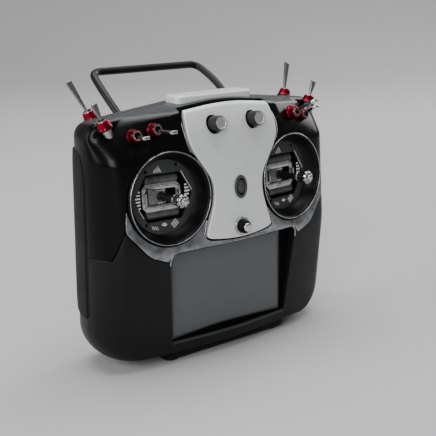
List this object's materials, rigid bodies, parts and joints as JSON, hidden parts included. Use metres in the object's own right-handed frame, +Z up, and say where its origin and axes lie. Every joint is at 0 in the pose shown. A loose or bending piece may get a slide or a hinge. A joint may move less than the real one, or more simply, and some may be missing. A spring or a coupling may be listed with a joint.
{
  "type": "radio transmitter controller",
  "caption": "Hand-held radio control transmitter with gimbal sticks, toggle switches, rotary knobs, a wide screen and a bar handle.",
  "frame": {"origin": "centre of the foot's flat bottom face, on the surface the transmitter stands on", "axes": "+Z up, +X to the operator's right, -Y towards the operator, who faces the sticks and the screen"},
  "size_m": [0.2004, 0.1171, 0.1876],
  "materials": {
    "gloss_shell": "piano-black gloss moulding",
    "satin_shell": "fine satin moulded texture",
    "metallic_trim": "graphite metallic lacquer, slightly mottled",
    "silver_panel": "satin silver",
    "grip_rubber": "matt soft-touch rubber",
    "coated_bar": "semi-gloss black powder coat",
    "screen_glass": "flat glossy glass over a grey display",
    "face_plate": "dark grey satin moulding",
    "circuit_board": "green solder mask",
    "battery_wrap": "blue shrink wrap",
    "spun_silver": "turned satin aluminium",
    "chrome": "bright polished",
    "nickel": "dull nickel plate",
    "red_anodised": "glossy red anodised",
    "cradle_silver": "satin plated casting"
  },
  "bodies": {
    "casing": {"upper_front_shell": "gloss_shell", "gimbal_trim": "metallic_trim", "lower_front_shell": "satin_shell", "centre_panel": "silver_panel", "back_shell": "satin_shell", "grip_pad_left": "grip_rubber", "grip_pad_right": "grip_rubber", "carry_handle": "coated_bar", "top_cap": "silver_panel", "base_foot": "satin_shell", "screen_lens": "screen_glass", "lcd_module": "face_plate", "main_board": "circuit_board", "battery_pack": "battery_wrap", "rf_board": "circuit_board", "speaker": "face_plate", "potentiometer_left": "spun_silver", "potentiometer_right": "spun_silver", "power_bezel": "spun_silver", "badge": "face_plate", "switch_top_rear_left": "nickel", "nut_top_rear_left": "red_anodised", "switch_top_rear_right": "nickel", "nut_top_rear_right": "red_anodised", "switch_top_front_left": "nickel", "nut_top_front_left": "red_anodised", "switch_top_front_right": "nickel", "nut_top_front_right": "red_anodised", "switch_face_inner_left": "nickel", "nut_face_inner_left": "red_anodised", "switch_face_inner_right": "nickel", "nut_face_inner_right": "red_anodised", "switch_face_outer_left": "nickel", "nut_face_outer_left": "red_anodised", "switch_face_outer_right": "nickel", "nut_face_outer_right": "red_anodised", "stick_bezel_left": "gloss_shell", "stick_housing_left": "face_plate", "stick_bezel_right": "gloss_shell", "stick_housing_right": "face_plate"},
    "lever_top_rear_left": {"lever_top_rear_left": "chrome"},
    "lever_top_rear_right": {"lever_top_rear_right": "chrome"},
    "lever_top_front_left": {"lever_top_front_left": "chrome"},
    "lever_top_front_right": {"lever_top_front_right": "chrome"},
    "lever_face_inner_left": {"lever_face_inner_left": "chrome"},
    "lever_face_inner_right": {"lever_face_inner_right": "chrome"},
    "lever_face_outer_left": {"lever_face_outer_left": "chrome"},
    "lever_face_outer_right": {"lever_face_outer_right": "chrome"},
    "knob_left": {"knob_left": "spun_silver"},
    "knob_right": {"knob_right": "spun_silver"},
    "power_button": {"power_button": "chrome"},
    "battery_hatch": {"battery_hatch": "satin_shell"},
    "cradle_left": {"stick_cradle_left": "cradle_silver"},
    "stick_left": {"stick_rod_left": "face_plate", "stick_tip_left": "chrome"},
    "cradle_right": {"stick_cradle_right": "cradle_silver"},
    "stick_right": {"stick_rod_right": "face_plate", "stick_tip_right": "chrome"}
  },
  "joints": [
    {"name": "switch_top_rear_left", "type": "hinge", "parent": "casing", "child": "lever_top_rear_left", "pos_m": [-0.08396, 0.01577, 0.16387], "axis": [0.9151, 0.0533, 0.3996], "range_deg": [0, 22]},
    {"name": "switch_top_rear_right", "type": "hinge", "parent": "casing", "child": "lever_top_rear_right", "pos_m": [0.08396, 0.01577, 0.16387], "axis": [0.9151, -0.0533, -0.3996], "range_deg": [0, 22]},
    {"name": "switch_top_front_left", "type": "hinge", "parent": "casing", "child": "lever_top_front_left", "pos_m": [-0.08759, -0.00532, 0.16067], "axis": [0.9065, 0.0281, 0.4212], "range_deg": [-11, 11]},
    {"name": "switch_top_front_right", "type": "hinge", "parent": "casing", "child": "lever_top_front_right", "pos_m": [0.08759, -0.00532, 0.16067], "axis": [0.9065, -0.0281, -0.4212], "range_deg": [-11, 11]},
    {"name": "switch_face_inner_left", "type": "hinge", "parent": "casing", "child": "lever_face_inner_left", "pos_m": [-0.05951, -0.01844, 0.15698], "axis": [0.9968, -0.077, 0.0216], "range_deg": [-22, 0]},
    {"name": "switch_face_inner_right", "type": "hinge", "parent": "casing", "child": "lever_face_inner_right", "pos_m": [0.05951, -0.01844, 0.15698], "axis": [0.9968, 0.077, -0.0216], "range_deg": [0, 22]},
    {"name": "switch_face_outer_left", "type": "hinge", "parent": "casing", "child": "lever_face_outer_left", "pos_m": [-0.07204, -0.01444, 0.15398], "axis": [0.995, -0.096, 0.027], "range_deg": [-22, 0]},
    {"name": "switch_face_outer_right", "type": "hinge", "parent": "casing", "child": "lever_face_outer_right", "pos_m": [0.07204, -0.01444, 0.15398], "axis": [0.995, 0.096, -0.027], "range_deg": [0, 22]},
    {"name": "knob_left_turn", "type": "hinge", "parent": "casing", "child": "knob_left", "pos_m": [-0.0165, -0.0236, 0.1574], "axis": [0, -0.9848, 0.1736], "range_deg": [-150, 150]},
    {"name": "knob_right_turn", "type": "hinge", "parent": "casing", "child": "knob_right", "pos_m": [0.0165, -0.0236, 0.1574], "axis": [0, -0.9848, 0.1736], "range_deg": [-150, 150]},
    {"name": "power_button_press", "type": "slide", "parent": "casing", "child": "power_button", "axis": [0, 1, 0], "range_m": [0, 0.001], "stiffness_N_per_m": 400, "springref_m": -0.001},
    {"name": "battery_hatch_slide", "type": "slide", "parent": "casing", "child": "battery_hatch", "axis": [0, 0, -1], "range_m": [0, 0.009]},
    {"name": "stick_left_vertical", "type": "hinge", "parent": "casing", "child": "cradle_left", "pos_m": [-0.05164, -0.0111, 0.11298], "axis": [0.9959, -0.0906, 0], "range_deg": [-20, 20]},
    {"name": "stick_left_sideways", "type": "hinge", "parent": "cradle_left", "child": "stick_left", "pos_m": [-0.05164, -0.0111, 0.11298], "axis": [0.0062, 0.0677, 0.9977], "range_deg": [-20, 20], "stiffness_Nm_per_rad": 0.12},
    {"name": "stick_right_vertical", "type": "hinge", "parent": "casing", "child": "cradle_right", "pos_m": [0.05164, -0.0111, 0.11298], "axis": [0.9959, 0.0906, 0], "range_deg": [-20, 20], "stiffness_Nm_per_rad": 0.12},
    {"name": "stick_right_sideways", "type": "hinge", "parent": "cradle_right", "child": "stick_right", "pos_m": [0.05164, -0.0111, 0.11298], "axis": [-0.0062, 0.0677, 0.9977], "range_deg": [-20, 20], "stiffness_Nm_per_rad": 0.12}
  ]
}
